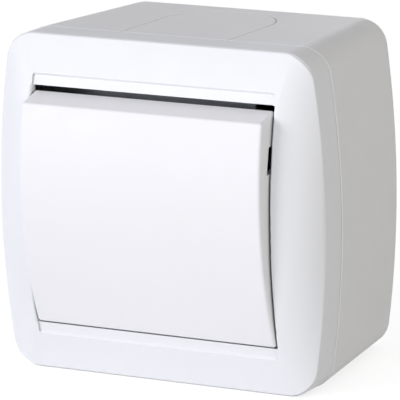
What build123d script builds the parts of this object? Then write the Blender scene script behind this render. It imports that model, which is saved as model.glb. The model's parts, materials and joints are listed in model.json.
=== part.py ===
"""Surface mounted light switch: one gang, one way, with a domed front frame and a full-width rocker.

Everything is modelled lying on its back: X runs to the right, Y up the wall and Z out of the wall, so a Z
value is a distance from the wall. Each finished piece is then stood up: +Z up, front facing -Y, and the
origin at the centre of the face that lies against the wall. Sizes are millimetres and degrees."""

import os
from math import asin, atan2, cos, degrees, hypot, radians, sin, sqrt

from build123d import *

# Front frame, measured on the photograph against its height, which is a standard 80 mm
FRAME_HEIGHT = 80.0
FRAME_WIDTH = 84.6
SIDE_BOW = 3.55
CORNER_RADIUS = 7.35
CROWN = 55.45
ARCH_RADIUS = 128.0
EDGE = 48.65
SKIRT_DEPTH = 8.15
FRAME_WALL = 2.0
EDGE_BEVEL_ANGLE = 28.0

# Side rolls: where each one starts on the arch, and how much its arc turns, at three heights
ROLL_WIDTH = 10.7
ROLL_START = FRAME_WIDTH / 2 - ROLL_WIDTH
ROLL_START_MIDWAY = ROLL_START + 0.7
ROLL_START_END = ROLL_START + 4.1
ROLL_MIDWAY = 0.35 * FRAME_HEIGHT
ROLL_TURN = 22.0
ROLL_TURN_MIDWAY = 17.0
ROLL_TURN_END = 4.0
ROLL_EXTRA = 2.5
ROLL_OVERHANG = 0.15
ROLL_REACH = 4.0

# Opening for the rocker, with a shallow ledge above and below it
SIDE_BAR = 10.95
END_BAR = 11.7
OPENING_WIDTH = FRAME_WIDTH - 2 * SIDE_BAR
OPENING_HEIGHT = FRAME_HEIGHT - 2 * END_BAR
OPENING_CORNER = 0.6
OPENING_ROUND = 0.7
LEDGE_HEIGHT = 2.8
LEDGE_DEPTH = 0.55
LEDGE_RUN = 0.55
LEDGE_CORNER = 0.8

# Back box, which tapers towards the wall
SIDE_TAPER = 4.9
END_TAPER = 0.55
REAR_WIDTH = FRAME_WIDTH - 2 * SIDE_TAPER
REAR_HEIGHT = FRAME_HEIGHT - 2 * END_TAPER
REAR_BOW = 3.05
REAR_CORNER = 6.7
BOX_STEP = 0.25
BOX_WALL = 2.1
BOX_FLOOR = 2.0
REAR_EDGE_ROUND = 0.8
RIM_BEVEL = 0.2
TONGUE_HEIGHT = 1.8
TONGUE_WALL = 1.0
TONGUE_GAP = 0.12

# Snap hooks of the frame and the catches for them in the box
HOOK_INSET = 22.3
HOOK_X = FRAME_WIDTH / 2 - HOOK_INSET
HOOK_WIDTH = 6.0
HOOK_WALL = 1.4
HOOK_BARB = 0.8
HOOK_BARB_HEIGHT = 2.2
CATCH_DEPTH = 1.1
CATCH_HEIGHT = 2.0
CATCH_Z = 36.5
HOOK_GAP = 0.15

# Knock-out tabs in the top and bottom of the box, and the round one in its floor
TAB_WIDTH = 28.0
TAB_APEX = 5.0
GROOVE_WIDTH = 0.3
GROOVE_DEPTH = 0.4
KNOCKOUT_RADIUS = 8.5
FLOOR_GROOVE_DEPTH = 1.1

# Cable window and wall-fixing slots in the floor
WINDOW_WIDTH = 28.0
WINDOW_HEIGHT = 13.0
WINDOW_RIM = 1.0
SLOT_INSET = 9.0
SLOT_SPACING = FRAME_HEIGHT - 2 * SLOT_INSET
SLOT_TO_KNOCKOUT = 14.5
SLOT_TO_WINDOW = 14.0
KNOCKOUT_Y = SLOT_SPACING / 2 - SLOT_TO_KNOCKOUT
WINDOW_Y = SLOT_TO_WINDOW - SLOT_SPACING / 2
SLOT_LENGTH = 8.0
SLOT_WIDTH = 4.4
SLOT_PAD = 2.0
PAD_HEIGHT = 1.0

# Bosses that carry the mechanism, and the mounting screws in them
SCREW_INSET = 12.3
SCREW_SPACING = FRAME_WIDTH - 2 * SCREW_INSET
BOSS_RADIUS = 3.75
BOSS_TOP = 37.5
BOSS_RIB = 1.6
SCREW_RADIUS = 1.6
SCREW_LENGTH = 14.0
SCREW_HEAD_RADIUS = 3.3
SCREW_HEAD_HEIGHT = 2.2
SCREW_GAP = 0.06
DRIVE_WIDTH = 0.9
DRIVE_DEPTH = 1.1

# Mounting plate
PLATE_THICKNESS = 1.0
PLATE_SIDE_INSET = 5.3
PLATE_END_INSET = 10.0
PLATE_WIDTH = FRAME_WIDTH - 2 * PLATE_SIDE_INSET
PLATE_HEIGHT = FRAME_HEIGHT - 2 * PLATE_END_INSET
PLATE_CORNER = 7.0
PLATE_FLANGE = 3.0
PLATE_SLOT_LENGTH = 8.0
PLATE_WINDOW_LENGTH = 12.0
PLATE_WINDOW_WIDTH = 5.0
PLATE_WINDOW_SIDE_INSET = 11.3
PLATE_WINDOW_END_INSET = 5.7

# Rocker: an arched front on a slightly drafted skirt
ROCKER_SIDE_GAP = 0.23
ROCKER_END_GAP = 1.7
ROCKER_REAR_GAP = 0.54
ROCKER_WIDTH = OPENING_WIDTH - 2 * ROCKER_SIDE_GAP
ROCKER_END = OPENING_HEIGHT / 2 - ROCKER_END_GAP
ROCKER_REAR_END = OPENING_HEIGHT / 2 - ROCKER_REAR_GAP
ROCKER_FACE = 55.15
ROCKER_SAG = 3.85
ROCKER_SHOULDER = 48.65
ROCKER_RIM = 44.6
ROCKER_STEP = 1.5
ROCKER_DRAFT = 0.3
ROCKER_WALL = 1.8
ROCKER_ROUND = 0.7
ROCKER_CORNER = 0.8
NOTCH_INSET = 6.2
NOTCH_LENGTH = 6.2
NOTCH_START = ROCKER_END - NOTCH_INSET - NOTCH_LENGTH
NOTCH_TOP = 54.4
NOTCH_FALL = 1.8
RIB_THICKNESS = 1.0
RIB_HEIGHT = 1.2
RIB_Y = 0.6 * ROCKER_END

# Rocker movement: pivot height and the tilt to each side of the middle
PIVOT = 41.0
TILT = 5.7

# Cradle, which carries the rocker on two stub axles
AXLE_RADIUS = 2.0
AXLE_LENGTH = 3.0
RUNNING_GAP = 0.05
CORE_WIDTH = SCREW_SPACING / 3
CORE_HEIGHT = 9.0
CORE_BOTTOM = 37.0
STEM_RADIUS = 3.6
STEM_END = 31.0
SEAT_BOTTOM = 45.0
SEAT_THICKNESS = 2.0
SEAT_MARGIN = 3.5
SEAT_WIDTH = CORE_WIDTH + 2 * SEAT_MARGIN
SEAT_HEIGHT = 18.0
CLIP_INSET = 4.5
CLIP_X = SEAT_WIDTH / 2 - CLIP_INSET
CLIP_WIDTH = 5.0
CLIP_WALL = 1.4
CLIP_BARB = 0.6
CLIP_GAP = 0.12

# Plunger and its spring
PLUNGER_RADIUS = 2.2
PLUNGER_GAP = 0.1
PLUNGER_TOP = 35.8
PLUNGER_POCKET = 3.4
SPRING_RADIUS = 1.35
SPRING_WIRE = 0.36
SPRING_TURNS = 6
SPRING_BORE_END = 43.2
SPRING_SEAT_GAP = 0.06

# Contact chamber, which keeps its share of the frame's height
CHAMBER_FLOOR = 18.5
CHAMBER_WIDTH = 13.0
CHAMBER_HEIGHT = 0.35 * FRAME_HEIGHT
POCKET_WIDTH = 9.4
POCKET_WALL = 0.9

# Contact lever, which rocks on a knife edge
LEVER_PIVOT = 24.0
LEVER_TILT = 8.0
LEVER_THICKNESS = 1.2
LEVER_WIDTH = 8.0
LEVER_END_GAP = 1.0
LEVER_SHORT_ARM = CHAMBER_HEIGHT / 4
LEVER_LONG_ARM = CHAMBER_HEIGHT / 2 - LEVER_END_GAP
LEVER_RISE = 1.0
LEVER_NOTCH = 0.9
CHEEK_WALL = 0.8
CHEEK_LENGTH = 6.0
CHEEK_DROP = 2.6
TIP_GAP = 0.15
KNIFE_THICKNESS = 1.2
KNIFE_TIP = 0.3
KNIFE_BEVEL = 1.4

# Contact rivets
CONTACT_INSET = 2.5
CONTACT_Y = LEVER_LONG_ARM - CONTACT_INSET
CONTACT_RADIUS = 2.0
CONTACT_HEAD = 1.2
RIVET_SHANK = 1.0
RIVET_TAIL_RADIUS = 1.5
RIVET_TAIL = 0.4
CONTACT_GAP = 0.15

# Terminals: strap, clamp plate and screw at each end of the mechanism
STRAP_THICKNESS = 1.2
STRAP_WIDTH = 6.4
STRAP_MARGIN = 0.6
STRAP_LIP = 0.1
KNIFE_FOOT = 2.6
WIRE_SPACE = 1.4
CLAMP_THICKNESS = 1.2
CLAMP_SIZE = 7.0
CLAMP_GAP = 0.2
TERMINAL_Y = CHAMBER_HEIGHT / 2 + POCKET_WALL + CLAMP_GAP + CLAMP_SIZE / 2
STRAP_END = TERMINAL_Y + CLAMP_SIZE / 2 + STRAP_LIP
TERMINAL_SCREW_RADIUS = 1.5
TERMINAL_SCREW_LENGTH = 6.6
TERMINAL_HEAD_RADIUS = 2.9
TERMINAL_HEAD_HEIGHT = 2.1
TERMINAL_GAP = 0.05

# Mechanism body and cover
BODY_MARGIN = 0.9
BODY_HEIGHT = 2 * (TERMINAL_Y + CLAMP_SIZE / 2 + BODY_MARGIN)
BODY_REAR = 14.0
BODY_CORNER = 1.5
FLANGE_THICKNESS = 3.0
COVER_FLANGE = 1.5
COVER_RISE = 2.0
COVER_HEIGHT = 27.2
COVER_GAP = 0.2
COVER_WINDOW_HEIGHT = 12.6
LUG_THICKNESS = 3.0
LUG_RADIUS = 3.2
LUG_GAP = 0.3
SEAT_GAP = 0.05
RIVET_RADIUS = 1.2
RIVET_HEAD_RADIUS = 2.0
RIVET_HEAD = 0.7
LUG_MARGIN = 2.3
FLANGE_MARGIN = 2.4
FLANGE_REACH = 7.0
COVER_WIDTH = CORE_WIDTH + 2 * (LUG_GAP + LUG_THICKNESS + LUG_MARGIN)
RIVET_X = COVER_WIDTH / 2 + RIVET_HEAD_RADIUS
FLANGE_WIDTH = 2 * (RIVET_X + FLANGE_MARGIN)
BODY_WIDTH = FLANGE_WIDTH - 2 * FLANGE_REACH

# Gap beside loosely held metal, and the extra length of cutters and joined ends
LOOSE_GAP = 0.2
OVERCUT = 1.0

# Levels that follow from the sizes above
PARTING = EDGE - SKIRT_DEPTH
FAR = FRAME_WIDTH
PLATE_TOP = BOSS_TOP + PLATE_THICKNESS
COVER_BOTTOM = BOSS_TOP - COVER_FLANGE
BODY_TOP = COVER_BOTTOM
STRAP_BOTTOM = CHAMBER_FLOOR + SEAT_GAP
STRAP_TOP = STRAP_BOTTOM + STRAP_THICKNESS
CLAMP_TOP = STRAP_BOTTOM - WIRE_SPACE
LEVER_TOP = LEVER_PIVOT + LEVER_RISE
PLUNGER_TIP = LEVER_TOP + TIP_GAP


def arch_level(y, inset=0.0):
    """Height of the arch over the wall at a height y up the wall."""
    radius = ARCH_RADIUS - inset
    return CROWN - ARCH_RADIUS + sqrt(radius**2 - y**2)


def box(width, height, low, high, x=0.0, y=0.0):
    """A block centred on x, y that reaches from one level to another."""
    return Pos(x, y, (low + high) / 2) * Box(width, height, high - low)


def rod(radius, low, high, x=0.0, y=0.0):
    """A round bar along Z, centred on x, y."""
    return Pos(x, y, (low + high) / 2) * Cylinder(radius, high - low)


def cross_rod(radius, x_from, x_to, z):
    """A round bar along X."""
    return Pos((x_from + x_to) / 2, 0, z) * Rot(0, 90, 0) * Cylinder(radius, x_to - x_from)


def slot_bar(length, width, low, high, x=0.0, y=0.0, turn=0.0):
    """A bar with round ends, length by width, from one level to another."""
    return extrude(Pos(x, y, low) * Rot(0, 0, turn) * SlotOverall(length, width), high - low)


def side_profile(points, width, x=0.0):
    """A block of the given width in X, cut to a profile of (y, z) points."""
    face = make_face(Polyline(*[(0, y, z) for y, z in points], close=True))
    return Pos(x, 0, 0) * extrude(face, width / 2, dir=(1, 0, 0), both=True)


def tilted(shape, pivot, angle):
    """Turns a shape about the X direction through a pivot level."""
    return Pos(0, 0, pivot) * Rot(angle, 0, 0) * Pos(0, 0, -pivot) * shape


def mirrored_pair(shape):
    """A shape and its mirror image in the left-right plane."""
    return shape + mirror(shape, Plane.YZ)


def outline(half_width, half_height, bow, corner):
    """Outline with straight ends, sides that bow outwards and rounded corners."""
    side = half_width - bow
    with BuildSketch() as sketch:
        with BuildLine():
            Line((-side, -half_height), (side, -half_height))
            ThreePointArc((side, -half_height), (half_width, 0), (side, half_height))
            Line((side, half_height), (-side, half_height))
            ThreePointArc((-side, half_height), (-half_width, 0), (-side, -half_height))
        make_face()
        fillet(sketch.vertices(), corner)
    return sketch.sketch


def frame_outline(inset=0.0):
    """Outline of the frame, moved inwards by inset."""
    return outline(FRAME_WIDTH / 2 - inset, FRAME_HEIGHT / 2 - inset, SIDE_BOW, CORNER_RADIUS - inset)


def roll_section(y, start, turn, inset):
    """Space outside the right-hand side roll, in the plane at height y."""
    half = FRAME_WIDTH / 2 - SIDE_BOW * (2 * y / FRAME_HEIGHT) ** 2 + ROLL_OVERHANG
    top = arch_level(y)
    slope = degrees(atan2(top - EDGE, half - start))
    radius = hypot(half - start, top - EDGE) / (2 * sin(radians(turn)))
    centre_x = start - radius * sin(radians(slope - turn))
    centre_z = top - radius * cos(radians(slope - turn))
    first, last = radians(slope - turn - ROLL_EXTRA), radians(slope + turn + ROLL_EXTRA)

    def on_arc(angle):
        return centre_x + (radius - inset) * sin(angle), centre_z + (radius - inset) * cos(angle)

    near, middle, far = on_arc(first), on_arc((first + last) / 2), on_arc(last)
    inside = (near[0] - ROLL_REACH * cos(first), near[1] + ROLL_REACH * sin(first))
    outside = (far[0] + ROLL_REACH * cos(last), far[1] - ROLL_REACH * sin(last))
    ceiling = CROWN + ROLL_REACH
    plane = Plane(origin=(0, y, 0), x_dir=(1, 0, 0), z_dir=(0, -1, 0))
    with BuildSketch(plane) as sketch:
        with BuildLine():
            Line(inside, near)
            ThreePointArc(near, middle, far)
            Polyline(far, outside, (outside[0], ceiling), (inside[0], ceiling), inside)
        make_face()
    return sketch.sketch


def roll_cutter(inset):
    """Smooth loft that leaves the right-hand side roll when it is cut from the frame."""
    end = FRAME_HEIGHT / 2
    upper = [(ROLL_MIDWAY, ROLL_START_MIDWAY, ROLL_TURN_MIDWAY), (end, ROLL_START_END, ROLL_TURN_END)]
    lower = [(-y, start, turn) for y, start, turn in reversed(upper)]
    stations = lower + [(0.0, ROLL_START, ROLL_TURN)] + upper
    return loft([roll_section(y, start, turn, inset) for y, start, turn in stations])


def frame_form(inset, low):
    """Domed body of the frame: outline, arch and side rolls, all moved inwards by inset."""
    edge = EDGE - inset
    shape = extrude(Pos(0, 0, low) * frame_outline(inset), edge - low)
    shape += extrude(Pos(0, 0, edge) * frame_outline(inset), CROWN - edge, taper=EDGE_BEVEL_ANGLE)
    shape &= cross_rod(ARCH_RADIUS - inset, -FAR, FAR, CROWN - ARCH_RADIUS)
    roll = roll_cutter(inset)
    return shape - roll - mirror(roll, Plane.YZ)


def ledge(side):
    """Cutter for the shallow ledge above (side 1) or below (side -1) the opening."""
    inner = OPENING_HEIGHT / 2 - LEDGE_DEPTH
    crest = OPENING_HEIGHT / 2 + LEDGE_HEIGHT
    foot = crest - LEDGE_RUN
    points = [
        (side * inner, arch_level(inner) - LEDGE_DEPTH),
        (side * foot, arch_level(foot) - LEDGE_DEPTH),
        (side * crest, arch_level(crest)),
        (side * crest, CROWN),
        (side * inner, CROWN),
    ]
    plan = RectangleRounded(OPENING_WIDTH, 2 * crest, LEDGE_CORNER)
    return side_profile(points, OPENING_WIDTH) & extrude(Pos(0, 0, PARTING) * plan, CROWN)


def hook_face(side_level):
    """Distance from the middle to the outer face of a snap hook's leg."""
    return side_level - CATCH_DEPTH - HOOK_GAP


def box_inner_half_height(z):
    """Half height of the box's inside at a level z."""
    share = z / PARTING
    return REAR_HEIGHT / 2 + share * (FRAME_HEIGHT - REAR_HEIGHT) / 2 - BOX_WALL


def opening_round():
    """Cutter that rounds the right-hand front edge of the opening, turned along the arch."""
    edge, corner = OPENING_WIDTH / 2, OPENING_ROUND
    middle = corner * (1 - sqrt(0.5))
    with BuildSketch(Plane.XZ) as section:
        with BuildLine():
            Polyline(
                (edge, CROWN - corner),
                (edge - corner, CROWN - corner),
                (edge - corner, CROWN + corner),
                (edge + corner, CROWN + corner),
                (edge + corner, CROWN),
            )
            ThreePointArc((edge + corner, CROWN), (edge + middle, CROWN - middle), (edge, CROWN - corner))
        make_face()
    reach = degrees(asin(OPENING_HEIGHT / 2 / ARCH_RADIUS))
    axle = Axis((0, 0, CROWN - ARCH_RADIUS), (1, 0, 0))
    return revolve(section.sketch.rotate(axle, -reach), axle, 2 * reach)


def front_frame():
    """Domed frame with the rocker's opening, a rebated skirt and four snap hooks."""
    rim = [Pos(0, 0, PARTING) * frame_outline(RIM_BEVEL), Pos(0, 0, PARTING + RIM_BEVEL) * frame_outline()]
    shape = loft(rim, ruled=True) + frame_form(0.0, PARTING + RIM_BEVEL)
    shape -= frame_form(FRAME_WALL, PARTING)
    rebate = frame_outline(TONGUE_WALL)
    shape -= extrude(Pos(0, 0, PARTING) * rebate, TONGUE_HEIGHT + TONGUE_GAP)
    opening = RectangleRounded(OPENING_WIDTH, OPENING_HEIGHT, OPENING_CORNER)
    shape -= extrude(Pos(0, 0, PARTING) * opening, CROWN)
    for side in (1, -1):
        shape -= ledge(side)
    shape -= mirrored_pair(opening_round())
    face = hook_face(box_inner_half_height(CATCH_Z))
    root = arch_level(face) - FRAME_WALL / 2
    barb_top = CATCH_Z - HOOK_GAP
    barb_low = barb_top - HOOK_BARB_HEIGHT
    points = [
        (face - HOOK_WALL, root),
        (face, root),
        (face, barb_top),
        (face + HOOK_BARB, barb_top),
        (face, barb_low),
        (face - HOOK_WALL, barb_low),
    ]
    for side in (1, -1):
        for x in (-HOOK_X, HOOK_X):
            shape += side_profile([(side * y, z) for y, z in points], HOOK_WIDTH, x)
    return shape


def box_outline(inset):
    """Outline of the box at the parting line, moved inwards by inset."""
    half_width = FRAME_WIDTH / 2 + BOX_STEP - inset
    return outline(half_width, FRAME_HEIGHT / 2 - inset, SIDE_BOW, CORNER_RADIUS - inset)


def box_form(inset, low):
    """Tapered body of the box between its floor and the parting line, moved inwards by inset."""
    rear = outline(REAR_WIDTH / 2 - inset, REAR_HEIGHT / 2 - inset, REAR_BOW, REAR_CORNER - inset)
    shape = loft([rear, Pos(0, 0, PARTING) * box_outline(inset)], ruled=True)
    return shape & box(FAR * 2, FAR * 2, low, PARTING)


def knockout_tab(side):
    """U-shaped line of a knock-out in the top (side 1) or bottom (side -1), as deep as half the box."""
    half = TAB_WIDTH / 2
    centre = TAB_APEX + half
    stem = FRAME_HEIGHT
    outer = Pos(0, centre) * Circle(half) + Pos(0, centre + stem / 2) * Rectangle(TAB_WIDTH, stem)
    inner_half = half - GROOVE_WIDTH
    inner = Pos(0, centre) * Circle(inner_half) + Pos(0, centre + stem / 2) * Rectangle(2 * inner_half, stem)
    wall_plane = Plane(origin=(0, 0, 0), x_dir=(-side, 0, 0), z_dir=(0, side, 0))
    return extrude(wall_plane * (outer - inner), FRAME_HEIGHT)


def back_box():
    """Tapered box with its floor, bosses, catches, knock-outs, cable window and fixing slots."""
    shape = box_form(0.0, 0.0)
    shape = fillet(shape.edges().group_by(Axis.Z)[0], REAR_EDGE_ROUND)
    shape &= box(FAR * 2, FAR * 2, 0, PARTING - RIM_BEVEL)
    bevel_start = Pos(0, 0, PARTING - RIM_BEVEL) * box_outline(0.0)
    shape += loft([bevel_start, Pos(0, 0, PARTING) * box_outline(RIM_BEVEL)], ruled=True)
    shape -= box_form(BOX_WALL, BOX_FLOOR)
    tongue = frame_outline(TONGUE_WALL + TONGUE_GAP) - frame_outline(BOX_WALL)
    shape += extrude(Pos(0, 0, PARTING) * tongue, TONGUE_HEIGHT)

    inside = box_form(BOX_WALL / 2, 0.0)
    boss = rod(BOSS_RADIUS, BOX_FLOOR / 2, BOSS_TOP, SCREW_SPACING / 2)
    reach = REAR_WIDTH / 2 - SCREW_SPACING / 2 + CORNER_RADIUS
    boss += box(reach, BOSS_RIB, BOX_FLOOR / 2, BOSS_TOP, (SCREW_SPACING + reach) / 2)
    boss &= inside
    shape += mirrored_pair(boss)
    bore = rod(SCREW_RADIUS + SCREW_GAP, BOSS_TOP - SCREW_LENGTH - OVERCUT, BOSS_TOP, SCREW_SPACING / 2)
    shape -= mirrored_pair(bore)

    skin = box_form(0.0, 0.0) - box_form(GROOVE_DEPTH, 0.0)
    pad_top = BOX_FLOOR + PAD_HEIGHT
    for side in (1, -1):
        wall = box_inner_half_height(CATCH_Z)
        catch = [
            (side * (wall - CATCH_DEPTH), CATCH_Z),
            (side * (wall + BOX_WALL / 2), CATCH_Z),
            (side * (wall + BOX_WALL / 2), CATCH_Z + CATCH_HEIGHT),
            (side * wall, CATCH_Z + CATCH_HEIGHT),
        ]
        for x in (-HOOK_X, HOOK_X):
            shape += side_profile(catch, HOOK_WIDTH + 2 * HOOK_WALL, x)
        shape -= knockout_tab(side) & skin
        y = side * SLOT_SPACING / 2
        pad_length, pad_width = SLOT_LENGTH + 2 * SLOT_PAD, SLOT_WIDTH + 2 * SLOT_PAD
        shape += slot_bar(pad_length, pad_width, 0, pad_top, 0, y, 90) & inside
        shape -= slot_bar(SLOT_LENGTH, SLOT_WIDTH, 0, pad_top, 0, y, 90)

    rim_width, rim_height = WINDOW_WIDTH + 2 * WINDOW_RIM, WINDOW_HEIGHT + 2 * WINDOW_RIM
    shape += slot_bar(rim_width, rim_height, BOX_FLOOR / 2, pad_top, 0, WINDOW_Y)
    shape -= slot_bar(WINDOW_WIDTH, WINDOW_HEIGHT, 0, pad_top, 0, WINDOW_Y)
    ring = Circle(KNOCKOUT_RADIUS) - Circle(KNOCKOUT_RADIUS - GROOVE_WIDTH)
    shape -= extrude(Pos(0, KNOCKOUT_Y, 0) * ring, FLOOR_GROOVE_DEPTH)
    return shape


def mounting_plate():
    """Pressed steel plate with folded ends, a window for the mechanism and slots for its screws."""
    sheet = RectangleRounded(PLATE_WIDTH, PLATE_HEIGHT, PLATE_CORNER)
    shape = extrude(Pos(0, 0, BOSS_TOP) * sheet, PLATE_THICKNESS)
    flange_width = PLATE_WIDTH - 2 * PLATE_CORNER
    window = RectangleRounded(COVER_WIDTH + 2 * COVER_GAP, COVER_HEIGHT + 2 * COVER_GAP, COVER_GAP)
    shape -= extrude(Pos(0, 0, BOSS_TOP) * window, PLATE_THICKNESS)
    for side in (1, -1):
        y = side * (PLATE_HEIGHT - PLATE_THICKNESS) / 2
        shape += box(flange_width, PLATE_THICKNESS, BOSS_TOP - PLATE_FLANGE, PLATE_TOP, 0, y)
        x = side * SCREW_SPACING / 2
        slot_width = 2 * (SCREW_RADIUS + LOOSE_GAP)
        shape -= slot_bar(PLATE_SLOT_LENGTH, slot_width, BOSS_TOP, PLATE_TOP, x, 0, 90)
        shape -= rod(RIVET_RADIUS + RUNNING_GAP, BOSS_TOP, PLATE_TOP, side * RIVET_X)
        window_x = side * (PLATE_WIDTH / 2 - PLATE_WINDOW_SIDE_INSET)
        window_y = side * (PLATE_HEIGHT / 2 - PLATE_WINDOW_END_INSET)
        shape -= slot_bar(PLATE_WINDOW_LENGTH, PLATE_WINDOW_WIDTH, BOSS_TOP, PLATE_TOP, window_x, window_y)
    return shape


def pan_head_screw(radius, length, head_radius, head_height, seat):
    """Slotted screw along -Z with the underside of its head at the level seat."""
    head = rod(head_radius, seat, seat + head_height)
    head = chamfer(head.edges().group_by(Axis.Z)[-1], head_height / 3)
    head -= box(2 * head_radius, DRIVE_WIDTH, seat + head_height - DRIVE_DEPTH, seat + head_height)
    shank = rod(radius, seat - length, seat)
    return head + chamfer(shank.edges().group_by(Axis.Z)[0], radius / 3)


def mounting_screw(side):
    """Screw that holds the plate down on a boss."""
    shape = pan_head_screw(SCREW_RADIUS, SCREW_LENGTH, SCREW_HEAD_RADIUS, SCREW_HEAD_HEIGHT, PLATE_TOP)
    return Pos(side * SCREW_SPACING / 2, 0, 0) * shape


def plate_rivet(side):
    """Rivet that holds the mechanism to the plate."""
    low, high = BODY_TOP - FLANGE_THICKNESS, PLATE_TOP
    shape = rod(RIVET_RADIUS, low - RIVET_HEAD, high + RIVET_HEAD)
    shape += rod(RIVET_HEAD_RADIUS, low - RIVET_HEAD, low)
    shape += rod(RIVET_HEAD_RADIUS, high, high + RIVET_HEAD)
    ends = shape.edges().filter_by(GeomType.CIRCLE).group_by(Axis.Z)
    shape = chamfer(ends[0] + ends[-1], RIVET_HEAD / 2)
    return Pos(side * RIVET_X, 0, 0) * shape


def mechanism_body():
    """Insulating body: contact chamber in front, a terminal pocket at each end behind."""
    shape = box(BODY_WIDTH, BODY_HEIGHT, BODY_REAR, BODY_TOP)
    shape = fillet(shape.edges().filter_by(Axis.Z), BODY_CORNER)
    flange = RectangleRounded(FLANGE_WIDTH, BODY_HEIGHT, BODY_CORNER)
    shape += extrude(Pos(0, 0, BODY_TOP - FLANGE_THICKNESS) * flange, FLANGE_THICKNESS)
    shape -= box(CHAMBER_WIDTH, CHAMBER_HEIGHT, CHAMBER_FLOOR, BODY_TOP)
    slot_height = STRAP_THICKNESS + LOOSE_GAP
    for side in (1, -1):
        inner = CHAMBER_HEIGHT / 2 + POCKET_WALL
        length = BODY_HEIGHT / 2 - inner
        middle = side * (inner + length / 2)
        shape -= box(POCKET_WIDTH, length, BODY_REAR, CHAMBER_FLOOR + slot_height, 0, middle)
        wall_y = side * (CHAMBER_HEIGHT / 2 + POCKET_WALL / 2)
        slot_width = STRAP_WIDTH + LOOSE_GAP
        shape -= box(slot_width, POCKET_WALL, CHAMBER_FLOOR, CHAMBER_FLOOR + slot_height, 0, wall_y)
        screw_room = TERMINAL_SCREW_RADIUS + LOOSE_GAP
        screw_end = CLAMP_TOP - CLAMP_THICKNESS + TERMINAL_SCREW_LENGTH
        shape -= rod(screw_room, CHAMBER_FLOOR, screw_end + OVERCUT, 0, side * TERMINAL_Y)
        shape -= rod(RIVET_RADIUS + RUNNING_GAP, BODY_REAR, BODY_TOP, side * RIVET_X)
    return shape


def mechanism_cover():
    """Cover of the contact chamber, with the two bearing lugs for the cradle."""
    flange = RectangleRounded(FLANGE_WIDTH, BODY_HEIGHT, BODY_CORNER)
    shape = extrude(Pos(0, 0, COVER_BOTTOM) * flange, COVER_FLANGE)
    top = PLATE_TOP + COVER_RISE - PLATE_THICKNESS
    shape += box(COVER_WIDTH, COVER_HEIGHT, COVER_BOTTOM, top)
    lug_inner = CORE_WIDTH / 2 + LUG_GAP
    lug = box(LUG_THICKNESS, 2 * LUG_RADIUS, COVER_BOTTOM, PIVOT, lug_inner + LUG_THICKNESS / 2)
    lug += cross_rod(LUG_RADIUS, lug_inner, lug_inner + LUG_THICKNESS, PIVOT)
    shape -= box(2 * lug_inner, COVER_WINDOW_HEIGHT, COVER_BOTTOM, PIVOT)
    shape += mirrored_pair(lug)
    shape -= cross_rod(AXLE_RADIUS + RUNNING_GAP, -FAR, FAR, PIVOT)
    for side in (1, -1):
        shape -= rod(RIVET_RADIUS + RUNNING_GAP, COVER_BOTTOM, BOSS_TOP, side * RIVET_X)
    return shape


def cradle():
    """Rocker carrier: seat plate, core with stub axles, and the stem that holds the plunger."""
    shape = box(CORE_WIDTH, CORE_HEIGHT, CORE_BOTTOM, SEAT_BOTTOM)
    shape += box(SEAT_WIDTH, SEAT_HEIGHT, SEAT_BOTTOM, SEAT_BOTTOM + SEAT_THICKNESS)
    shape += rod(STEM_RADIUS, STEM_END, CORE_BOTTOM + OVERCUT)
    reach = CORE_WIDTH / 2 + AXLE_LENGTH
    shape += cross_rod(AXLE_RADIUS, -reach, reach, PIVOT)
    return shape - rod(PLUNGER_RADIUS + PLUNGER_GAP, STEM_END, SPRING_BORE_END)


def plunger():
    """Round-nosed pin with a pocket for the spring."""
    shape = rod(PLUNGER_RADIUS, PLUNGER_TIP + PLUNGER_RADIUS, PLUNGER_TOP)
    shape += Pos(0, 0, PLUNGER_TIP + PLUNGER_RADIUS) * Sphere(PLUNGER_RADIUS)
    pocket = SPRING_RADIUS + SPRING_WIRE / 2 + PLUNGER_GAP
    return shape - rod(pocket, PLUNGER_TOP - PLUNGER_POCKET, PLUNGER_TOP)


def plunger_spring():
    """Helical spring between the plunger's pocket and the end of the bore."""
    clear = SPRING_WIRE / 2 + SPRING_SEAT_GAP
    low = PLUNGER_TOP - PLUNGER_POCKET + clear
    height = SPRING_BORE_END - clear - low
    helix = Helix(height / SPRING_TURNS, height, SPRING_RADIUS)
    section = Plane(origin=helix @ 0, z_dir=helix % 0) * RegularPolygon(SPRING_WIRE / 2, 6)
    return Pos(0, 0, low) * sweep(section, path=helix, is_frenet=True)


def rocker_form(inset):
    """Arched body of the rocker, moved inwards by inset: front, end bevels, shoulders and skirt."""
    end, rear_end = ROCKER_END - inset, ROCKER_REAR_END - inset
    face, shoulder = ROCKER_FACE - inset, ROCKER_SHOULDER + inset
    skirt = ROCKER_REAR_END - ROCKER_STEP - inset
    with BuildSketch(Plane.YZ) as profile:
        with BuildLine():
            ThreePointArc((-end, face), (0, face + ROCKER_SAG), (end, face))
            Polyline(
                (end, face),
                (rear_end, shoulder),
                (skirt, shoulder),
                (skirt, ROCKER_RIM),
                (-skirt, ROCKER_RIM),
                (-skirt, shoulder),
                (-rear_end, shoulder),
                (-end, face),
            )
        make_face()
    shape = extrude(profile.sketch, ROCKER_WIDTH, both=True)
    rise = ROCKER_FACE + 2 * ROCKER_SAG - ROCKER_SHOULDER
    plan = Rectangle(ROCKER_WIDTH - 2 * inset, 2 * ROCKER_WIDTH)
    drafted = extrude(Pos(0, 0, ROCKER_SHOULDER) * plan, rise, taper=ROCKER_DRAFT)
    drafted += extrude(Pos(0, 0, ROCKER_RIM) * plan, ROCKER_SHOULDER - ROCKER_RIM)
    return shape & drafted


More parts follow.
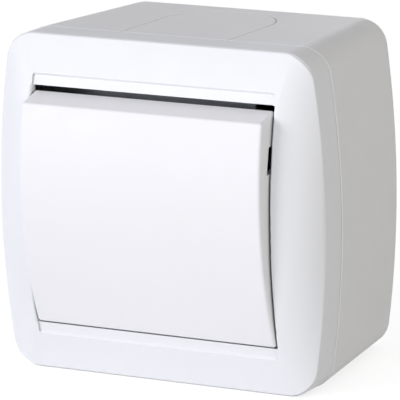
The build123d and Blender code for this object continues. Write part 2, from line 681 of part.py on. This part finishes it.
def clip_leg(side, x):
    """Clip inside the rocker that grips the edge of the cradle's seat."""
    near = SEAT_HEIGHT / 2 + CLIP_GAP
    low = SEAT_BOTTOM - CLIP_GAP
    top = ROCKER_FACE + ROCKER_SAG
    points = [
        (side * near, top),
        (side * near, low),
        (side * (near - CLIP_BARB), low),
        (side * near, low - 2 * CLIP_BARB),
        (side * (near + CLIP_WALL), low - 2 * CLIP_BARB),
        (side * (near + CLIP_WALL), top),
    ]
    return side_profile(points, CLIP_WIDTH, x)


def rocker():
    """Full-width key: drafted shell with side notches, stiffening ribs and four clips."""
    outer = rocker_form(0.0)
    low, high = ROCKER_SHOULDER + ROCKER_STEP, ROCKER_FACE - ROCKER_STEP
    corners = outer.edges().filter_by(lambda edge: low < edge.center().Z < high)
    outer = fillet(corners, ROCKER_CORNER)
    front = outer.edges().filter_by(lambda edge: edge.center().Z > ROCKER_FACE - ROCKER_ROUND / 2)
    outer = fillet(front, ROCKER_ROUND)
    shape = outer - rocker_form(ROCKER_WALL)
    inside = rocker_form(ROCKER_WALL / 2) & box(FAR, FAR, 0, ROCKER_FACE + ROCKER_SAG)
    for side in (1, -1):
        notch = [
            (side * NOTCH_START, ROCKER_RIM),
            (side * NOTCH_START, NOTCH_TOP),
            (side * (NOTCH_START + NOTCH_LENGTH), NOTCH_TOP - NOTCH_FALL),
            (side * (NOTCH_START + NOTCH_LENGTH), ROCKER_RIM),
        ]
        for across in (1, -1):
            shape -= side_profile(notch, 2 * ROCKER_WALL, across * (ROCKER_WIDTH - ROCKER_WALL) / 2)
            shape += clip_leg(side, across * CLIP_X) & inside
        rib_low = ROCKER_FACE - RIB_HEIGHT
        rib = box(ROCKER_WIDTH, RIB_THICKNESS, rib_low, rib_low + 2 * ROCKER_SAG, 0, side * RIB_Y)
        shape += rib & inside
    return shape


def contact_lever():
    """Rocking lever with a notch for the knife edge and two cheeks that keep it in line."""
    low, high = LEVER_TOP - LEVER_THICKNESS, LEVER_TOP
    tip = LEVER_PIVOT + TIP_GAP
    points = [
        (-LEVER_LONG_ARM, low),
        (-LEVER_NOTCH, low),
        (0, tip),
        (LEVER_NOTCH, low),
        (LEVER_SHORT_ARM, low),
        (LEVER_SHORT_ARM, high),
        (-LEVER_LONG_ARM, high),
    ]
    shape = side_profile(points, LEVER_WIDTH)
    cheek_x = (LEVER_WIDTH - CHEEK_WALL) / 2
    for side in (1, -1):
        shape += box(CHEEK_WALL, CHEEK_LENGTH, low - CHEEK_DROP, high, side * cheek_x)
    return shape - rod(RIVET_SHANK, low, high, 0, -CONTACT_Y)


def moving_contact():
    """Contact rivet through the long arm of the lever."""
    low = LEVER_TOP - LEVER_THICKNESS
    shape = rod(CONTACT_RADIUS, low - CONTACT_HEAD, low) + rod(RIVET_SHANK, low, LEVER_TOP)
    shape += rod(RIVET_TAIL_RADIUS, LEVER_TOP, LEVER_TOP + RIVET_TAIL)
    return Pos(0, -CONTACT_Y, 0) * shape


def fixed_contact_top():
    """Level of the fixed contact's face: just clear of the moving one when the switch is closed."""
    face = LEVER_RISE - LEVER_THICKNESS - CONTACT_HEAD
    outer_edge = CONTACT_Y + CONTACT_RADIUS
    return LEVER_PIVOT + face * cos(radians(LEVER_TILT)) - outer_edge * sin(radians(LEVER_TILT)) - CONTACT_GAP


def fixed_contact():
    """Contact rivet on the switched terminal's strap."""
    shape = rod(CONTACT_RADIUS, STRAP_TOP, fixed_contact_top()) + rod(RIVET_SHANK, STRAP_BOTTOM, STRAP_TOP)
    return Pos(0, -CONTACT_Y, 0) * shape


def strap(side, start):
    """Terminal strap along the floor of the chamber, out to the screw in its pocket."""
    length = STRAP_END - start
    shape = box(STRAP_WIDTH, length, STRAP_BOTTOM, STRAP_TOP, 0, side * (start + length / 2))
    hole = rod(TERMINAL_SCREW_RADIUS + TERMINAL_GAP, STRAP_BOTTOM, STRAP_TOP, 0, side * TERMINAL_Y)
    return shape - hole


def common_terminal():
    """Terminal strap with the upright knife edge that the lever rocks on."""
    half = KNIFE_THICKNESS / 2
    points = [
        (-half, STRAP_BOTTOM),
        (half, STRAP_BOTTOM),
        (half, LEVER_PIVOT - KNIFE_BEVEL),
        (KNIFE_TIP / 2, LEVER_PIVOT),
        (-KNIFE_TIP / 2, LEVER_PIVOT),
        (-half, LEVER_PIVOT - KNIFE_BEVEL),
    ]
    knife_width = LEVER_WIDTH - 2 * CHEEK_WALL - LOOSE_GAP
    return strap(1, -KNIFE_FOOT) + side_profile(points, knife_width)


def switched_terminal():
    """Terminal strap that carries the fixed contact."""
    start = CONTACT_Y - CONTACT_RADIUS - STRAP_MARGIN
    return strap(-1, start) - rod(RIVET_SHANK, STRAP_BOTTOM, STRAP_TOP, 0, -CONTACT_Y)


def clamp_plate(side):
    """Square plate that the terminal screw pulls against the wire."""
    shape = box(CLAMP_SIZE, CLAMP_SIZE, CLAMP_TOP - CLAMP_THICKNESS, CLAMP_TOP)
    shape = chamfer(shape.edges().group_by(Axis.Z)[-1], CLAMP_THICKNESS / 4)
    hole = rod(TERMINAL_SCREW_RADIUS + 2 * TERMINAL_GAP, CLAMP_TOP - CLAMP_THICKNESS, CLAMP_TOP)
    return Pos(0, side * TERMINAL_Y, 0) * (shape - hole)


def terminal_screw(side):
    """Screw of one terminal, with its head towards the wall."""
    sizes = (TERMINAL_SCREW_RADIUS, TERMINAL_SCREW_LENGTH, TERMINAL_HEAD_RADIUS, TERMINAL_HEAD_HEIGHT)
    shape = Rot(180, 0, 0) * pan_head_screw(*sizes, 0.0)
    return Pos(0, side * TERMINAL_Y, CLAMP_TOP - CLAMP_THICKNESS) * shape


def stand_up(shape):
    """Turns a piece from lying on its back to standing against the wall."""
    return Plane.XZ.location * shape


def write(name, shape):
    """Writes one finished piece."""
    export_step(stand_up(shape), f"parts/{name}.step")


os.makedirs("parts", exist_ok=True)

FIXED = {
    "back_box": back_box(),
    "front_frame": front_frame(),
    "mounting_plate": mounting_plate(),
    "mechanism_body": mechanism_body(),
    "mechanism_cover": mechanism_cover(),
    "common_terminal": common_terminal(),
    "switched_terminal": switched_terminal(),
    "fixed_contact": fixed_contact(),
    "mounting_screw_left": mounting_screw(-1),
    "mounting_screw_right": mounting_screw(1),
    "plate_rivet_left": plate_rivet(-1),
    "plate_rivet_right": plate_rivet(1),
    "clamp_plate_common": clamp_plate(1),
    "clamp_plate_switched": clamp_plate(-1),
    "terminal_screw_common": terminal_screw(1),
    "terminal_screw_switched": terminal_screw(-1),
}
ON_ROCKER = {
    "rocker": rocker(),
    "cradle": cradle(),
    "plunger": plunger(),
    "plunger_spring": plunger_spring(),
}
ON_LEVER = {
    "contact_lever": contact_lever(),
    "moving_contact": moving_contact(),
}

for name, shape in FIXED.items():
    write(name, shape)
for name, shape in ON_ROCKER.items():
    write(name, tilted(shape, PIVOT, TILT))
for name, shape in ON_LEVER.items():
    write(name, tilted(shape, LEVER_PIVOT, -LEVER_TILT))
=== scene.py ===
"""Looks of a surface mounted light switch.

White moulded plastic outside, and a grey insulator, brass and steel inside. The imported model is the
frame: every piece is in metres, with +Z up, the rocker towards -Y and the origin at the centre of
the wall face."""

import json
from math import cos, pi, radians, sin

import bpy
from mathutils import Matrix, Vector

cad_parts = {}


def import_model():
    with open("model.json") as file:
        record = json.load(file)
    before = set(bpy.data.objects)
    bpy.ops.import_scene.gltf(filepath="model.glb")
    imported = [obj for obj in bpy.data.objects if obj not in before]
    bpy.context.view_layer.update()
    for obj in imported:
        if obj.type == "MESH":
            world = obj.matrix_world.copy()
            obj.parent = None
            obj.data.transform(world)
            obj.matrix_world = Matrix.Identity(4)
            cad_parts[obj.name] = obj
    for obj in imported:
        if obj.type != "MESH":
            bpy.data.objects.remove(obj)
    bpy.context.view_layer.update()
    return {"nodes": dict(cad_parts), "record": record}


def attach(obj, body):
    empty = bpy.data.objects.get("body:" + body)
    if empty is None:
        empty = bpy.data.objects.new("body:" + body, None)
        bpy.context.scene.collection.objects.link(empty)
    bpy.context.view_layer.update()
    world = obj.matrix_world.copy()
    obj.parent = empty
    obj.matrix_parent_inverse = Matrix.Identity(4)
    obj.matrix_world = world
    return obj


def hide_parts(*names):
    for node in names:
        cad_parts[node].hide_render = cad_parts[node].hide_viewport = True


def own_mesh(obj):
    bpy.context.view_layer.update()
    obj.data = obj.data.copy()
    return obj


# Camera, fitted to the photograph: angles in degrees, distances in metres
AZIMUTH = 27.705
ELEVATION = 12.738
ROLL = -0.933
TARGET = Vector((0, -0.025, 0))
DISTANCE = 0.98648
FOCAL_PIXELS = 4199.54
CENTRE_PIXELS = (207.99, 191.98)
IMAGE_PIXELS = 400
SENSOR = 36.0

# Floor, 0.05 mm under the object's foot, and the light of the world
FLOOR_LEVEL = -0.04005
FLOOR_SIZE = 6.0
FLOOR_COLOUR = (0.68, 0.68, 0.69)
FLOOR_GLOW = 0.67
WORLD_LEVEL = 0.3

# Area lamps: name, place and width in metres, watts, colour
LAMPS = (
    ("key", (-2.2, -3.2, 0.55), 1.7, 96.0, (0.965, 0.965, 1.0)),
    ("front", (0.0, -3.8, 0.5), 1.6, 23.0, (0.9, 0.94, 1.0)),
    ("side", (3.1, -1.7, 0.9), 0.6, 34.0, (1.0, 0.97, 0.86)),
    ("top", (-2.0, -0.5, 1.5), 1.0, 7.5, (0.86, 0.87, 1.0)),
    ("rear", (-1.2, 3.4, 0.14), 0.3, 30.0, (1.0, 1.0, 1.0)),
)

# Nearly all of a noise lies between these two values
NOISE_LOW = 0.3
NOISE_HIGH = 0.7

# Moulded plastic: noise scales in waves a metre, levels of detail, and depths in metres
CLOUD_SCALE = 38.0
CLOUD_DETAIL = 3.0
GLOSS_SCALE = 160.0
GLOSS_DETAIL = 4.0
GLOSS_DULLER = 0.05
GLOSS_SHINIER = 0.04
SKIN_SCALE = 3800.0
SKIN_DETAIL = 2.0
SKIN_DEPTH = 0.000008
PLASTIC_IOR = 1.47
PLASTIC_SPECULAR = 0.5

# Painted shade in gaps: a place less open than the first value gets the full painted shade, one above
# the second none
GAP_CLOSED = 0.3
GAP_OPEN = 0.75
GAP_SHADE = 0.55
GAP_SAMPLES = 8

# Metal, in the same units
TONE_SCALE = 120.0
TONE_DETAIL = 4.0
BRUSH_SCALE = 900.0
BRUSH_DETAIL = 6.0
BRUSH_DULLER = 0.1
BRUSH_SHINIER = 0.08
BRUSH_DEPTH = 0.000003

# Spring of the plunger, in metres: it stands in the rocker's stem, tilted with it
SPRING_AXIS = Vector((0, -0.995056, -0.09932)).normalized()
SPRING_ACROSS = Vector((0, 0.09932, -0.995056)).normalized()
SPRING_OFFSET = -0.004072
SPRING_LOW = 0.032261
SPRING_HIGH = 0.042934
SPRING_RADIUS = 0.00132
SPRING_WIRE = 0.00018
SPRING_TURNS = 8
CLOSED_TURNS = 1  # at each end
STEPS_A_TURN = 40
WIRE_SIDES = 10


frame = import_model()
nodes = frame["nodes"]
slots = {entry["node"]: entry["material_slot"] for entry in frame["record"]["subparts"]}


class Shader:
    """A small builder for one node material around a Principled shader."""

    def __init__(self, name):
        self.material = bpy.data.materials.new(name)
        self.material.use_nodes = True
        self.tree = self.material.node_tree
        self.bsdf = self.tree.nodes["Principled BSDF"]

    def add(self, kind, **inputs):
        """Adds a node and gives it its inputs and properties, in their order."""
        node = self.tree.nodes.new(kind)
        for key, value in inputs.items():
            self.put(node, key, value)
        return node

    def put(self, node, key, value):
        """Links or sets the input that a key names, or else sets the node's property."""
        name = key.replace("_", " ")
        if name not in node.inputs:
            setattr(node, key, value)
        elif isinstance(value, bpy.types.NodeSocket):
            self.tree.links.new(value, node.inputs[name])
        else:
            node.inputs[name].default_value = value

    def noise(self, scale, detail, stretch=(1, 1, 1)):
        """Noise in object coordinates, between 0 and 1, closer along a stretched axis."""
        place = self.add("ShaderNodeTexCoord").outputs["Object"]
        mapped = self.add("ShaderNodeMapping", Vector=place, Scale=stretch).outputs["Vector"]
        noise = self.add("ShaderNodeTexNoise", Vector=mapped, Scale=scale, Detail=detail)
        return noise.outputs["Fac"]

    def spread(self, noise, low, high):
        """Maps the usual range of a noise onto low to high."""
        node = self.add(
            "ShaderNodeMapRange",
            Value=noise,
            From_Min=NOISE_LOW,
            From_Max=NOISE_HIGH,
            To_Min=low,
            To_Max=high,
        )
        return node.outputs["Result"]

    def mix(self, factor, first, second):
        """Mixes two colours."""
        node = self.add("ShaderNodeMix", data_type="RGBA", Factor=factor)
        sockets = [s for s in node.inputs if s.type == "RGBA"]
        sockets[0].default_value = (*first, 1)
        sockets[1].default_value = (*second, 1)
        return next(s for s in node.outputs if s.type == "RGBA")

    def paint_gap_shade(self, colour, reach):
        """Paints shade into a colour where another surface faces it nearer than a reach."""
        gap = self.add("ShaderNodeAmbientOcclusion", Distance=reach, samples=GAP_SAMPLES)
        shade = self.add(
            "ShaderNodeMapRange",
            Value=gap.outputs["AO"],
            From_Min=GAP_CLOSED,
            From_Max=GAP_OPEN,
            To_Min=GAP_SHADE,
            To_Max=1.0,
        )
        scaled = self.add(
            "ShaderNodeVectorMath",
            operation="SCALE",
            Vector=colour,
            Scale=shade.outputs["Result"],
        )
        return scaled.outputs["Vector"]

    def bump(self, height, distance):
        """Feeds a height into the shader's normal."""
        node = self.add("ShaderNodeBump", Height=height, Distance=distance)
        self.set(Normal=node.outputs["Normal"])

    def set(self, **inputs):
        """Sets or links inputs of the Principled shader."""
        for key, value in inputs.items():
            self.put(self.bsdf, key, value)


def moulded(name, light, dark, roughness, grain=SKIN_SCALE, depth=SKIN_DEPTH, reach=0.0):
    """Moulded plastic: a faint cloudiness in colour, uneven gloss and a fine skin.

    With a reach, shade is painted into the colour in gaps narrower than that."""
    shader = Shader(name)
    colour = shader.mix(shader.noise(CLOUD_SCALE, CLOUD_DETAIL), light, dark)
    # painted shade in gaps narrower than the reach
    if reach:
        colour = shader.paint_gap_shade(colour, reach)
    gloss = shader.noise(GLOSS_SCALE, GLOSS_DETAIL)
    shader.set(
        Base_Color=colour,
        Roughness=shader.spread(gloss, roughness - GLOSS_SHINIER, roughness + GLOSS_DULLER),
        IOR=PLASTIC_IOR,
        Specular_IOR_Level=PLASTIC_SPECULAR,
    )
    shader.bump(shader.noise(grain, SKIN_DETAIL), depth)
    return shader.material


def metal(name, light, dark, roughness, stretch=(1, 1, 1)):
    """Metal with a drawn or brushed grain along the least stretched axis."""
    shader = Shader(name)
    tone = shader.noise(TONE_SCALE, TONE_DETAIL)
    grain = shader.noise(BRUSH_SCALE, BRUSH_DETAIL, stretch)
    shader.set(
        Metallic=1.0,
        Base_Color=shader.mix(tone, light, dark),
        Roughness=shader.spread(grain, roughness - BRUSH_SHINIER, roughness + BRUSH_DULLER),
    )
    shader.bump(grain, BRUSH_DEPTH)
    return shader.material


MATERIALS = {
    "white_plastic": moulded(
        "white plastic",
        light=(0.843, 0.849, 0.884),
        dark=(0.83, 0.836, 0.871),
        roughness=0.5,
        # painted shade in the frame's gaps narrower than 1 mm
        reach=0.001,
    ),
    "grey_insulator": moulded(
        "grey insulator",
        light=(0.085, 0.088, 0.095),
        dark=(0.07, 0.072, 0.078),
        roughness=0.55,
        grain=1500.0,
        depth=0.00001,
    ),
    "natural_acetal": moulded(
        "natural acetal",
        light=(0.78, 0.765, 0.69),
        dark=(0.74, 0.725, 0.65),
        roughness=0.42,
    ),
    "plated_sheet": metal(
        "plated sheet",
        light=(0.33, 0.34, 0.37),
        dark=(0.27, 0.28, 0.31),
        roughness=0.42,
        stretch=(0.06, 1, 1),
    ),
    "plated_screw": metal(
        "plated screw",
        light=(0.66, 0.65, 0.6),
        dark=(0.58, 0.57, 0.52),
        roughness=0.3,
    ),
    "spring_wire": metal(
        "spring wire",
        light=(0.55, 0.56, 0.58),
        dark=(0.48, 0.49, 0.51),
        roughness=0.28,
    ),
    "terminal_brass": metal(
        "terminal brass",
        light=(0.78, 0.57, 0.25),
        dark=(0.68, 0.47, 0.2),
        roughness=0.3,
        stretch=(1, 1, 0.08),
    ),
    "contact_silver": metal(
        "contact silver",
        light=(0.86, 0.84, 0.79),
        dark=(0.8, 0.77, 0.71),
        roughness=0.25,
    ),
}

# The rocker's plastic is a lighter, bluer copy of the white plastic, its extra lightness painted
# light; the box's is a little darker and less blue
MOULDINGS = {
    "rocker": moulded(
        "rocker plastic",
        light=(0.878, 0.872, 0.905),
        dark=(0.866, 0.86, 0.893),
        roughness=0.5,
        # painted shade in the rocker's gaps narrower than 1.2 mm
        reach=0.0012,
    ),
    "back_box": moulded(
        "box plastic",
        light=(0.83, 0.83, 0.85),
        dark=(0.816, 0.817, 0.836),
        roughness=0.52,
        grain=2200.0,
        depth=0.000006,
    ),
}


def dress(node):
    """Gives a CAD node its own moulding, or the material of its slot."""
    obj = nodes[node]
    obj.data.materials.clear()
    obj.data.materials.append(MOULDINGS.get(node, MATERIALS[slots[node]]))


def spring_point(along, angle, distance):
    """A point at a height along the spring's axis, turned round it at a distance."""
    outward = cos(angle) * Vector((1, 0, 0)) + sin(angle) * SPRING_ACROSS
    return along * SPRING_AXIS + SPRING_OFFSET * SPRING_ACROSS + distance * outward


def spring_line():
    """The middle line of the spring's wire, as points, with closed turns at both ends."""
    low, high = SPRING_LOW + SPRING_WIRE, SPRING_HIGH - SPRING_WIRE
    closed = 2 * SPRING_WIRE
    line = []
    for step in range(SPRING_TURNS * STEPS_A_TURN + 1):
        turn = step / STEPS_A_TURN
        last = turn - SPRING_TURNS + CLOSED_TURNS
        open_share = (turn - CLOSED_TURNS) / (SPRING_TURNS - 2 * CLOSED_TURNS)
        middle = min(max(open_share, 0), 1)
        ends = min(turn, CLOSED_TURNS) + max(last, 0)
        along = low + closed * ends + (high - low - 2 * closed) * middle
        line.append(spring_point(along, 2 * pi * turn, SPRING_RADIUS))
    return line


def spring():
    """The plunger's spring, wound in code, carried by the key and standing in for the CAD spring,
    which is hidden.
    """
    line = spring_line()
    steps = len(line) - 1
    points, faces = [], []
    for step, centre in enumerate(line):
        tangent = (line[min(step + 1, steps)] - line[max(step - 1, 0)]).normalized()
        outward = spring_point(0, 2 * pi * step / STEPS_A_TURN, 1) - spring_point(0, 0, 0)
        beside = tangent.cross(outward).normalized()
        for side in range(WIRE_SIDES):
            angle = 2 * pi * side / WIRE_SIDES
            points.append(centre + SPRING_WIRE * (cos(angle) * outward + sin(angle) * beside))
    for step in range(steps):
        for side in range(WIRE_SIDES):
            after = (side + 1) % WIRE_SIDES
            a, b = step * WIRE_SIDES, (step + 1) * WIRE_SIDES
            faces.append((a + side, a + after, b + after, b + side))
    faces.append(tuple(reversed(range(WIRE_SIDES))))
    faces.append(tuple(steps * WIRE_SIDES + side for side in range(WIRE_SIDES)))
    mesh = bpy.data.meshes.new("plunger_coil")
    mesh.from_pydata([tuple(point) for point in points], [], faces)
    mesh.shade_smooth()
    mesh.materials.append(MATERIALS["spring_wire"])
    obj = bpy.data.objects.new("plunger_coil", mesh)
    bpy.context.scene.collection.objects.link(obj)
    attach(obj, "key")
    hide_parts("plunger_spring")
    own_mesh(obj)


def camera():
    """The photograph's camera."""
    az, el, roll = radians(AZIMUTH), radians(ELEVATION), radians(ROLL)
    back = Vector((sin(az) * cos(el), -cos(az) * cos(el), sin(el)))
    right = Vector((cos(az), sin(az), 0))
    up = back.cross(right)
    rolled_right = cos(roll) * right + sin(roll) * up
    rolled_up = -sin(roll) * right + cos(roll) * up
    data = bpy.data.cameras.new("camera")
    data.sensor_width = SENSOR
    data.lens = SENSOR * FOCAL_PIXELS / IMAGE_PIXELS
    data.shift_x = (IMAGE_PIXELS / 2 - CENTRE_PIXELS[0]) / IMAGE_PIXELS
    data.shift_y = (CENTRE_PIXELS[1] - IMAGE_PIXELS / 2) / IMAGE_PIXELS
    obj = bpy.data.objects.new("camera", data)
    bpy.context.scene.collection.objects.link(obj)
    turn = Matrix((rolled_right, rolled_up, back)).transposed().to_4x4()
    obj.matrix_world = Matrix.Translation(TARGET + DISTANCE * back) @ turn
    bpy.context.scene.camera = obj


def lamp(name, place, size, power, colour):
    """A square area lamp aimed at the middle of the object."""
    data = bpy.data.lights.new(name, "AREA")
    data.shape = "SQUARE"
    data.size = size
    data.energy = power
    data.color = colour
    obj = bpy.data.objects.new(name, data)
    bpy.context.scene.collection.objects.link(obj)
    obj.location = place
    obj.rotation_euler = (TARGET - Vector(place)).to_track_quat("-Z", "Y").to_euler()


def sees_backdrop(tree):
    """A socket that is 1 for camera, glossy and transmission rays, and 0 for the others."""
    path = tree.nodes.new("ShaderNodeLightPath")
    rays = path.outputs["Is Camera Ray"]
    for other in ("Is Glossy Ray", "Is Transmission Ray"):
        larger = tree.nodes.new("ShaderNodeMath")
        larger.operation = "MAXIMUM"
        tree.links.new(rays, larger.inputs[0])
        tree.links.new(path.outputs[other], larger.inputs[1])
        rays = larger.outputs[0]
    return rays


def world():
    """A white backdrop, which lights the object evenly from all round at a lower level."""
    scene_world = bpy.data.worlds.new("studio")
    bpy.context.scene.world = scene_world
    scene_world.use_nodes = True
    tree = scene_world.node_tree
    background = tree.nodes["Background"]
    background.inputs["Color"].default_value = (1, 1, 1, 1)
    strength = tree.nodes.new("ShaderNodeMapRange")
    strength.inputs["To Min"].default_value = WORLD_LEVEL
    tree.links.new(sees_backdrop(tree), strength.inputs["Value"])
    tree.links.new(strength.outputs["Result"], background.inputs["Strength"])


def floor():
    """A pale floor that shows as white and keeps the object's soft shadow."""
    half = FLOOR_SIZE / 2
    corners = [(-half, -half), (half, -half), (half, half), (-half, half)]
    mesh = bpy.data.meshes.new("floor")
    mesh.from_pydata([(x, y, FLOOR_LEVEL) for x, y in corners], [], [(0, 1, 2, 3)])
    obj = bpy.data.objects.new("floor", mesh)
    bpy.context.scene.collection.objects.link(obj)
    material = bpy.data.materials.new("floor")
    material.use_nodes = True
    tree = material.node_tree
    bsdf = tree.nodes["Principled BSDF"]
    bsdf.inputs["Base Color"].default_value = (*FLOOR_COLOUR, 1)
    bsdf.inputs["Roughness"].default_value = 1.0
    bsdf.inputs["Specular IOR Level"].default_value = 0.0
    bsdf.inputs["Emission Color"].default_value = (1, 1, 1, 1)
    glow = tree.nodes.new("ShaderNodeMath")
    glow.operation = "MULTIPLY"
    glow.inputs[1].default_value = FLOOR_GLOW
    tree.links.new(sees_backdrop(tree), glow.inputs[0])
    tree.links.new(glow.outputs[0], bsdf.inputs["Emission Strength"])
    mesh.materials.append(material)


for name in nodes:
    dress(name)
spring()
camera()
world()
floor()
for entry in LAMPS:
    lamp(*entry)
bpy.context.scene.view_settings.view_transform = "Standard"
